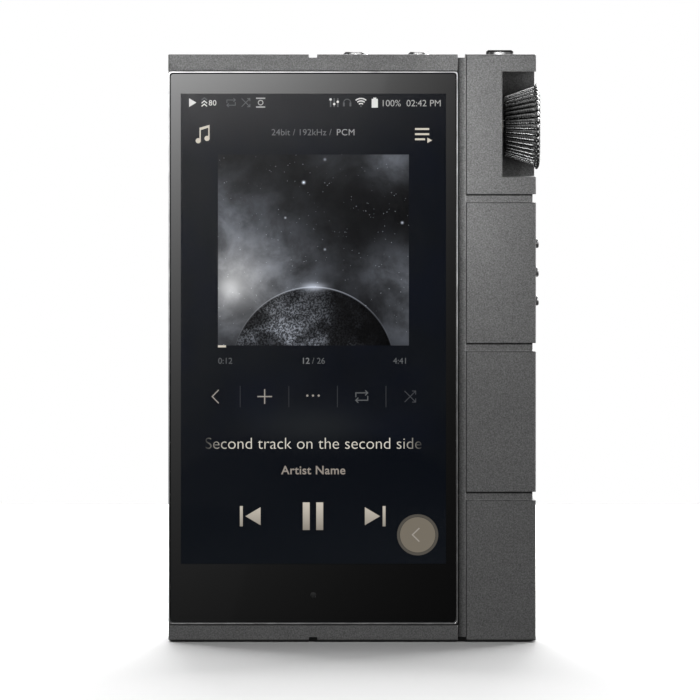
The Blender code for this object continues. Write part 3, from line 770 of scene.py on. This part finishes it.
def show_picture():
    whole = bar(SCREEN_WIDTH / 2, SCREEN_HEIGHT / 2, SCREEN_WIDTH, SCREEN_HEIGHT)
    flat_piece("wallpaper", [whole], wallpaper(), 0)
    white, soft = lit("ui_white", (0.80, 0.80, 0.78)), lit("ui_soft_white", (0.46, 0.46, 0.45))
    cream, warm = lit("ui_cream", (0.68, 0.63, 0.54)), lit("ui_warm_grey", (0.36, 0.33, 0.30))
    mid, dim = lit("ui_mid_grey", (0.20, 0.205, 0.21)), lit("ui_dim_grey", (0.115, 0.12, 0.125))
    dark, rule = lit("ui_dark_grey", (0.055, 0.057, 0.064)), lit("ui_rule", (0.045, 0.047, 0.052))
    status_row(white, soft, dim)
    heading(cream, lit("ui_rate", (0.165, 0.168, 0.175)), lit("ui_format", (0.36, 0.36, 0.365)))
    cover = bar(SCREEN_WIDTH / 2, ALBUM_TOP + ALBUM_SIDE / 2, ALBUM_SIDE, ALBUM_SIDE)
    flat_piece("album_art", [cover], album_picture())
    progress(cream, dim, mid)
    icon_row(warm, dim, dark, rule)
    centre_x = at(SCREEN_WIDTH / 2, 0)[0]
    title = edge_fade("ui_title", (0.66, 0.63, 0.56), (0.007, 0.008, 0.011), centre_x, 18.5 * MM, 27 * MM)
    titles(title, lit("ui_artist", (0.30, 0.265, 0.235)))
    top, bottom = at(0, 97.4)[1], at(0, 104.1)[1]
    transport(warm_fade("ui_transport", (0.60, 0.55, 0.47), (0.26, 0.235, 0.20), top, bottom))
    floating_button(lit("ui_key_face", (0.185, 0.162, 0.128)), lit("ui_key_rim", (0.088, 0.080, 0.068)),
                    lit("ui_key_line", (0.060, 0.055, 0.047)), lit("ui_key_mark", (0.34, 0.31, 0.275)))


# ---------------- screen glass and frame

def make_glass(clear, border):
    """One plate: see-through over the picture, printed black round it."""
    bm = plate_bmesh(rounded(GLASS_LOW, GLASS_HIGH, 0.7 * MM), GLASS_LOW.y, GLASS_HIGH.y)
    front = [e for e in bm.edges if all(abs(v.co.y - GLASS_LOW.y) < 0.01 * MM for v in e.verts)]
    bmesh.ops.bevel(bm, geom=front, offset=0.06 * MM, segments=2, profile=0.5, affect="EDGES")
    left, top = at(0, 0)
    right, bottom = at(SCREEN_WIDTH, SCREEN_HEIGHT)
    cuts = [((x, 0, 0), (1, 0, 0)) for x in (left, right)] + [((0, 0, z), (0, 0, 1)) for z in (top, bottom)]
    for place, normal in cuts:
        parts = bm.verts[:] + bm.edges[:] + bm.faces[:]
        bmesh.ops.bisect_plane(bm, geom=parts, plane_co=place, plane_no=normal)
    for face in bm.faces:
        centre = face.calc_center_median()
        if left < centre.x < right and bottom < centre.z < top:
            face.material_index = 1
    glass = add_piece("cover_glass_sheet", bm, border, smooth_angle=0.1)
    glass.data.materials.append(clear)
    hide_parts("cover_glass")


def make_gasket(rubber):
    """Soft black seal that fills the gap between the rim and the glass."""
    out, across = Vector((0.2 * MM, 0, 0.2 * MM)), Vector((0.06 * MM, 0, 0.06 * MM))
    outside = rounded(GLASS_LOW - out, GLASS_HIGH + out, 0.8 * MM)
    inside = rounded(GLASS_LOW + across, GLASS_HIGH - across, 0.7 * MM)
    front, back = GLASS_LOW.y + 0.12 * MM, GLASS_HIGH.y - 0.1 * MM
    bm = bmesh.new()
    loops = [[bm.verts.new((x, y, z)) for x, z in outline]
             for outline, y in ((outside, front), (outside, back), (inside, back), (inside, front))]
    for first, second in zip(loops, loops[1:] + loops[:1]):
        for i in range(len(first)):
            after = (i + 1) % len(first)
            bm.faces.new([first[i], first[after], second[after], second[i]])
    seal = add_piece("screen_gasket", bm, rubber)


def make_home_dot(look):
    """A printed dot in the border below the picture."""
    spot = ((GLASS_LOW.x + GLASS_HIGH.x) / 2, GLASS_LOW.y - 0.002 * MM, GLASS_LOW.z + 6.5 * MM)
    dot = turned("home_dot", profile_from(0, (-0.012, 0), (-0.012, 0.68), (0, 0.72), (0, 0)), spot, Y, look,
                 segments=40)


# ---------------- wheel

def ribbed(along, radius, angle):
    """Broad rounded ribs with narrow valleys, that run out over the shoulder of the face."""
    if radius < 6.8 * MM:
        return radius
    crest = abs(cos(RIBS * angle / 2)) ** 0.6
    return radius - 0.42 * MM * (1 - crest)


def make_wheel(metal):
    low, high = corners("volume_wheel")
    back, tip = low.x - WHEEL_AXIS.x, high.x - WHEEL_AXIS.x
    side = CASE_HIGH.x - WHEEL_AXIS.x
    inside = profile_from(back, (5.6, 0), (5.6, 1.8), (0, 1.8), (0, 6.6), (0.15, 7.0))
    start_x, end_x = back + 0.4 * MM, side - 0.3 * MM
    cone = [(start_x + (end_x - start_x) * i / 8, (7.2 + 2.4 * i / 8) * MM) for i in range(9)]
    shoulder = profile_from(side, (-0.12, 9.8), (0.04, 10.15), (0.3, 10.28), (0.6, 10.12), (0.8, 9.85),
                            (0.98, 9.45), (1.12, 8.9), (1.24, 8.2), (1.36, 7.3), (1.41, 6.7))
    face = profile_from(side, (1.5, 5.8), (1.62, 4.5), (1.74, 3.0), (1.81, 1.6)) + [(tip, 0)]
    wheel = turned("volume_wheel_body", inside + cone + shoulder + face, WHEEL_AXIS, X, metal, "wheel",
                   RIBS * 10, ribbed, 1.2)
    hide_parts("volume_wheel")


# ---------------- buttons

def make_power_button(metal):
    low, high = corners("power_button")
    centre = (low + high) / 2
    base, top = low.z - CASE_HIGH.z, high.z - CASE_HIGH.z
    radius = (high.x - low.x) / 2
    flank = [(base, 0), (base, radius - 0.1 * MM), (base + 0.1 * MM, radius)]
    bevel = arc(0.45 * MM, radius - 0.40 * MM, 0.40 * MM, 90, 20, 6)
    brim = [(top - 0.03 * MM, radius - 0.42 * MM), (top, radius - 0.52 * MM)]
    dish = [(top - 0.34 * MM * (1 - (i / 8) ** 2), max(0.0, 2.62 - 0.3275 * (8 - i)) * MM)
            for i in range(8, -1, -1)]
    spot = (centre.x, centre.y, CASE_HIGH.z)
    power = turned("power_button_cap", flank + bevel + brim + dish, spot, Z, metal, "power", 96, angle=0.7)
    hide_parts("power_button")


def make_side_buttons(metal):
    side = CASE_HIGH.x
    for name in ("next", "play", "previous"):
        low, high = corners(f"{name}_button")
        inner, outer = low.x - side, high.x - side
        root = profile_from(inner, (0, 0), (0, 1.8), (0.1, 1.9), (0.7, 1.9), (0.7, 1.2))
        stem = [(0.2 * MM, 1.2 * MM)]
        dome = arc(outer - 0.42 * MM, 0.78 * MM, 0.42 * MM, 90, 12, 6)
        face = profile_from(outer, (-0.02, 0.66), (-0.1, 0.4), (-0.12, 0))
        spot = (side, (low.y + high.y) / 2, (low.z + high.z) / 2)
        stud = turned(f"{name}_button_stud", root + stem + dome + face, spot, X, metal, name, 48, angle=0.7)
        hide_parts(f"{name}_button")


# ---------------- sockets and screws

def make_collars(metal, gold):
    """The rings of the two jacks, and a spring contact inside each."""
    for name, bore in (("headphone", 1.8), ("balanced", 1.3)):
        low, high = corners(f"{name}_collar")
        spot = ((low.x + high.x) / 2, (low.y + high.y) / 2, CASE_HIGH.z)
        radius = (high.x - low.x) / 2
        bottom, top = low.z - CASE_HIGH.z, high.z - CASE_HIGH.z
        foot = [(bottom, bore * MM), (bottom, radius), (0.08 * MM, radius)]
        flank = arc(top - 0.36 * MM, radius - 0.62 * MM, 0.36 * MM, 70, 5, 6)
        throat = profile_from(top, (-0.03, bore + 0.30), (-0.22, bore + 0.07), (-0.4, bore))
        collar = turned(f"{name}_collar_ring", foot + flank + throat, spot, Z, metal, segments=72)
        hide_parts(f"{name}_collar")
        contact = profile_from(-2.6 * MM, (-1.1, bore - 0.15), (-1.1, bore - 0.04), (0, bore - 0.04),
                               (0, bore - 0.15))
        spring = turned(f"{name}_contact", contact, spot, Z, gold, segments=48)


def lobes(along, radius, angle):
    """Gives six lobes to the socket of a screw, and leaves the rest of it round."""
    return radius * (1 + 0.13 * cos(6 * angle)) if abs(radius - 0.72 * MM) < 0.01 * MM else radius


def make_screws(steel):
    """Flat-head screws with a six-lobed socket."""
    for i in range(4):
        node = f"rear_screw_{i + 1}"
        low, high = corners(node)
        reach = (high.x - low.x) / 2 / MM
        shank = profile_from(low.y, (0, 0), (0, 0.62), (0.3, 0.8))
        head = profile_from(high.y, (-1.4, 0.8), (-0.72, reach - 0.02), (-0.6, reach), (-0.12, reach),
                            (0, reach - 0.14), (0, 0.95), (-0.03, 0.72), (-0.55, 0.7201), (-0.70, 0))
        spot = ((low.x + high.x) / 2, 0, (low.z + high.z) / 2)
        screw = turned(f"{node}_head", shank + head, spot, Y, steel, segments=72, shape=lobes)
        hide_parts(node)


def make_xlr_contacts(gold):
    """Gold sleeves in the five holes of the microphone-style socket."""
    low, high = corners("xlr_insert")
    centre = (low + high) / 2
    profile = profile_from(0, (-2.6, 0.30), (-2.6, 0.44), (-0.12, 0.44), (-0.05, 0.40), (-0.12, 0.30))
    for i in range(5):
        turn = radians(90 + 72 * i)
        spot = (centre.x + 2.0 * MM * cos(turn), centre.y + 2.0 * MM * sin(turn), high.z)
        sleeve = turned(f"xlr_contact_{i + 1}", profile, spot, Z, gold, segments=24)


# ---------------- finishes of the CAD nodes

def paint_nodes(finishes):
    """Every CAD node that stays gets the finish of its slot in the record."""
    for row in frame["record"]["subparts"]:
        slots = frame["nodes"][row["node"]].data.materials
        slots.clear()
        slots.append(finishes[row["material_slot"]])


# ---------------- floor, lights and camera

CAMERA_AWAY, CAMERA_Z = 3.0, CASE_HIGH.z
VIEW_CENTRE = Vector((-0.51 * MM, FRONT, 69.42 * MM))
VIEW_SPAN = 167.08 * MM
FLOOR_Z, FLOOR_HALF = -0.4 * MM, 0.9
CARD_AWAY, CARD_HALF = CAMERA_AWAY + 0.1, 0.3
CARD_PEAK, CARD_LEAST = 4.75, 0.030


def floor_material():
    """Pale floor. What it throws back on the metal is held down, as by a dark table edge off camera."""
    look = Look("pale_floor", roughness=0.9, Specular_IOR_Level=0.0)
    seen = Field(look.tree, look.tree.nodes.new("ShaderNodeLightPath").outputs["Is Camera Ray"])
    pale = look.noise(3 * MM, 3, 0.5).colours(grey(0.88), grey(0.90))
    look.set("Base Color", seen.colours(grey(0.12), pale))
    return look.material


def card_material():
    """Brightest at its upper left, fading right and down, with one slanting edge across it."""
    look = Look("card_glow", colour=grey(0.0), roughness=1.0, Specular_IOR_Level=0.0, Emission_Strength=1.0)
    x, y, _ = look.axes()
    # places on the glass, from the places on the card that mirror in them
    scale = (CARD_AWAY + FRONT) / CAMERA_AWAY + 1
    right = x / scale + (VIEW_CENTRE.x * (1 - 1 / scale) - GLASS_LOW.x)
    down = y * (-1 / scale) + (GLASS_HIGH.z - CAMERA_Z * (1 - 1 / scale))
    fall = right * 9.63 + right * right * 262 + down * (1 / (36.2 * MM))
    past_edge = (right + down * 0.286).ramp(51.3 * MM, 52.7 * MM, 1.0, 0.87)
    glow = (fall * -1).math("EXPONENT") * past_edge * CARD_PEAK + CARD_LEAST
    look.set("Emission Color", glow.of_colour(grey(1.0)))
    return look.material


def square(name, parts, half, material, location, turn=(0, 0, 0)):
    bm = bmesh.new()
    bmesh.ops.create_grid(bm, x_segments=parts, y_segments=parts, size=half)
    return placed(name, mesh_of(bm, name, material), location, turn)


def sheet(name, verts, material):
    mesh = bpy.data.meshes.new(name)
    mesh.from_pydata(verts, [], [(0, 1, 2, 3)])
    mesh.materials.append(material)
    return placed(name, mesh)


def choose(group_name, objects, state):
    """A collection that says which objects a light reaches, or leaves out."""
    group = bpy.data.collections.new(group_name)
    for i, thing in enumerate(objects):
        group.objects.link(thing)
        group.collection_objects[i].light_linking.link_state = state
    return group


def aimed(light, only=(), without=(), unblocked=()):
    """Limits what a light reaches, and what casts its shadows."""
    if only:
        light.light_linking.receiver_collection = choose(light.name + "_only", only, "INCLUDE")
    elif without:
        light.light_linking.receiver_collection = choose(light.name + "_without", without, "EXCLUDE")
    if unblocked:
        light.light_linking.blocker_collection = choose(light.name + "_past", unblocked, "EXCLUDE")


def softbox(name, place, aim, width, height, watts, **reach):
    data = bpy.data.lights.new(name, "AREA")
    data.shape = "RECTANGLE"
    data.size, data.size_y = width, height
    data.energy = watts
    turn = (Vector(aim) - Vector(place)).to_track_quat("-Z", "Y").to_euler()
    lamp = placed(name, data, place, turn)
    lamp.visible_camera = False
    aimed(lamp, **reach)


def named(*wanted):
    """The visible pieces that have one of some words in their names."""
    return [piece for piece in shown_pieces() if any(word in piece.name for word in wanted)]


def make_floor():
    floor = square("floor", 8, FLOOR_HALF, floor_material(), (0, 0, FLOOR_Z))
    floor.visible_glossy = False
    floor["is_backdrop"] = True
    return floor


def make_card():
    """A glowing card behind the camera. Only the glass and the polished pieces mirror it."""
    shiny = named("glass", "button", "collar", "dot", "wallpaper", "album", "status", "note", "format",
                  "playlist", "progress", "time", "track", "artist", "icon", "transport", "round_key")
    card = square("card", 1, CARD_HALF, card_material(), (0, -CARD_AWAY, 0), UPRIGHT)
    card.visible_camera = False
    card.visible_diffuse = False
    card.visible_shadow = False
    card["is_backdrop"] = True
    aimed(card, only=shiny)


def make_world():
    world = bpy.data.worlds.new("studio")
    world.use_nodes = True
    tree = world.node_tree
    tree.nodes.clear()
    seen = Field(tree, tree.nodes.new("ShaderNodeLightPath").outputs["Is Camera Ray"])
    background = tree.nodes.new("ShaderNodeBackground")
    shown = wired(tree, background, [("Color", seen.colours(grey(0.035), grey(1.0)))])
    feed(tree, tree.nodes.new("ShaderNodeOutputWorld").inputs["Surface"], shown)
    bpy.context.scene.world = world


def make_shade():
    """A plane in front of the groove beside the screen. It keeps the column's lights off the screen's rim."""
    x = GLASS_HIGH.x + 2.3 * MM
    near, far, low, high = FRONT - 1.25 * MM, FRONT - 0.19, -0.02, 0.25
    cloth = plastic("shade_cloth", grey(0.02), 0.9)
    shade = sheet("shade", [(x, near, low), (x, far, low), (x, far, high), (x, near, high)], cloth)
    shade.visible_camera = False
    shade.visible_diffuse = False
    shade.visible_glossy = False
    shade.visible_transmission = False
    shade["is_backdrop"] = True
    return shade


def make_dark_strip():
    """A black strip under the back of the case. It keeps the light behind it out of the lower grooves."""
    y, low, high = CASE_HIGH.y - 2 * MM, FLOOR_Z, 1.4 * MM
    left, right = CASE_LOW.x + 2 * MM, CASE_HIGH.x - 2 * MM
    cloth = plastic("strip_cloth", grey(0.01), 0.9)
    sheet("dark_strip", [(left, y, low), (right, y, low), (right, y, high), (left, y, high)], cloth)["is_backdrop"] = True


def light_device(floor, shade):
    """Small frontal lamps whose soft highlight fades down the case, and two more along its right column."""
    reach = {"without": [floor] + named("glass") + named("wheel_body") + named("rim"), "unblocked": [shade]}
    upper = (-0.05, 0.0, 0.15)
    softbox("key", (-0.05, -0.35, 0.175), upper, 0.08, 0.08, 0.10, **reach)
    softbox("key_left", (-0.15, -0.35, 0.24), upper, 0.08, 0.08, 0.09, **reach)
    softbox("front_fill", (0.0, -1.5, 0.1), (0.0, 0.0, 0.07), 1.2, 1.2, 1.8, **reach)
    softbox("rim_key", (-0.12, -0.26, 0.24), upper, 0.08, 0.08, 1.45, only=named("rim"), unblocked=[shade])
    above = CASE_HIGH.z + 10 * MM
    softbox("button_front", (0.035, -0.25, above), (0.035, 0.0, above), 0.5, 0.05, 0.25,
            only=named("power_button"), unblocked=[shade])
    column, housing = GLASS_HIGH.x + 3.5 * MM, named("housing")
    softbox("column", (column, -0.056, 0.115), (column, 0.0, 0.115), 0.002, 0.08, 0.0015, only=housing)
    softbox("column_top", (column, -0.046, 0.125), (column, 0.0, 0.125), 0.002, 0.06, 0.0008, only=housing)


def light_sides(floor, shade):
    """Dim lamps for the other sides of the player."""
    device = (0.0, 0.0, 0.07)
    reach = {"without": [floor] + named("power_button", "rim"), "unblocked": [shade]}
    for name, place, width, height, watts in (
            ("back_fill", (0.5, 0.9, 0.6), 0.8, 0.5, 20.0), ("left_fill", (-0.9, 0.1, 0.3), 0.5, 0.8, 4.0),
            ("right_fill", (0.8, -0.15, 0.35), 0.3, 0.6, 4.0), ("top_fill", (0.0, 0.25, 0.9), 0.6, 0.6, 3.0)):
        softbox(name, place, device, width, height, watts, **reach)


def light_wheel(floor, shade):
    """Lamps for the wheel alone, which the walls of its pocket would hide."""
    wheel = named("wheel_body")
    hidden_by = [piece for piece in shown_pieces() if piece not in wheel] + [shade, floor]
    centre = WHEEL_AXIS + Vector((4 * MM, 0, 0))
    for name, way, width, height, watts in (
            ("wheel_low", (-0.50, -0.24, -0.83), 0.025, 0.025, 0.036),
            ("wheel_middle", (-0.35, -0.93, 0.05), 0.20, 0.14, 0.0045),
            ("wheel_flank", (-0.87, -0.45, 0.10), 0.14, 0.14, 0.008),
            ("wheel_upper", (-0.52, -0.35, 0.77), 0.08, 0.08, 0.015),
            ("wheel_line", (-0.22, 0.75, 0.62), 0.03, 0.03, 0.02),
            ("wheel_lip", (1.0, -0.15, 0.03), 0.03, 0.05, 0.010),
            ("wheel_face", (0.30, 0.93, 0.12), 0.08, 0.08, 0.05)):
        place = centre + Vector(way) * 0.14
        softbox(name, place, centre, width, height, watts, only=wheel, unblocked=hidden_by)


def light_floor(floor, shade):
    """Lamps behind and above, which give the floor its white and the player its soft shadow."""
    for name, place, width, height, watts in (
            ("floor_low", (0.0, 1.5, 0.5), 0.3, 0.5, 24.6),
            ("floor_low_wide", (0.0, 1.5, 0.5), 1.8, 0.5, 84.0),
            ("floor_middle", (0.0, 1.3, 1.0), 0.3, 0.7, 11.9),
            ("floor_high_wide", (0.0, 0.8, 1.4), 1.8, 0.7, 5.6),
            ("floor_top", (0.0, 0.35, 1.5), 0.5, 0.4, 1.6),
            ("floor_front", (0.0, -1.6, 0.9), 1.0, 0.6, 13.0)):
        softbox(name, place, (0.0, 0.0, 0.0), width, height, watts, only=[floor], unblocked=[shade])


def make_camera():
    data = bpy.data.cameras.new("camera")
    data.sensor_width = 36.0
    data.lens = data.sensor_width * CAMERA_AWAY / VIEW_SPAN
    data.clip_end = 60.0
    place = Vector((VIEW_CENTRE.x, VIEW_CENTRE.y - CAMERA_AWAY, CAMERA_Z))
    turn = (VIEW_CENTRE - place).to_track_quat("-Z", "Y").to_euler()
    bpy.context.scene.camera = placed("camera", data, place, turn)


# ---------------- everything

def make_everything():
    housing, rim, wheel = blasted_metal("blasted_metal", 0.30), rim_metal(), wheel_metal()
    caps = polished_metal("button_metal", 0.62, 0.30)
    collars = polished_metal("collar_metal", 0.62, 0.18)
    steel = polished_metal("steel", 0.52, 0.24, streak=(1.0, 0.3, 1.0))
    gold = polished_metal("brass", 0.72, 0.20, tint=(1.0, 0.76, 0.36))
    glass, border = clear_glass(), printed_border()
    paint_nodes({
        "blasted_metal": housing, "frame_metal": rim, "cover_glass": glass, "wheel_metal": wheel,
        "button_metal": caps, "collar_metal": collars, "steel": steel, "brass": gold,
        "screen": plastic("screen_panel", (0.004, 0.004, 0.005), 0.5),
        "diffuser": plastic("diffuser", (0.55, 0.55, 0.53), 0.55),
        "black_plastic": plastic("black_plastic", (0.012, 0.012, 0.013), 0.38),
        "circuit_board": circuit_board(),
        "flex_film": plastic("flex_film", (0.16, 0.055, 0.012), 0.35),
        "battery_wrap": plastic("battery_wrap", (0.03, 0.03, 0.035), 0.45),
        "foam": plastic("foam", grey(0.02), 0.95, 0.08 * MM),
    })
    body = refined("main_housing", "main_housing_shell", housing, 0.12 * MM)
    cover = refined("rear_cover", "rear_cover_shell", housing, 0.12 * MM)
    edge = refined("display_frame", "display_frame_rim", rim, 0.08 * MM)
    make_glass(glass, border)
    make_gasket(seal_rubber())
    make_home_dot(plastic("dot_print", grey(0.02), 0.5))
    make_wheel(wheel)
    make_power_button(caps)
    make_side_buttons(caps)
    make_collars(collars, gold)
    make_screws(steel)
    make_xlr_contacts(gold)
    show_picture()


make_everything()
studio_floor = make_floor()
make_card()
make_world()
studio_shade = make_shade()
make_dark_strip()
light_device(studio_floor, studio_shade)
light_sides(studio_floor, studio_shade)
light_wheel(studio_floor, studio_shade)
light_floor(studio_floor, studio_shade)
make_camera()
bpy.context.scene.view_settings.view_transform = "Standard"
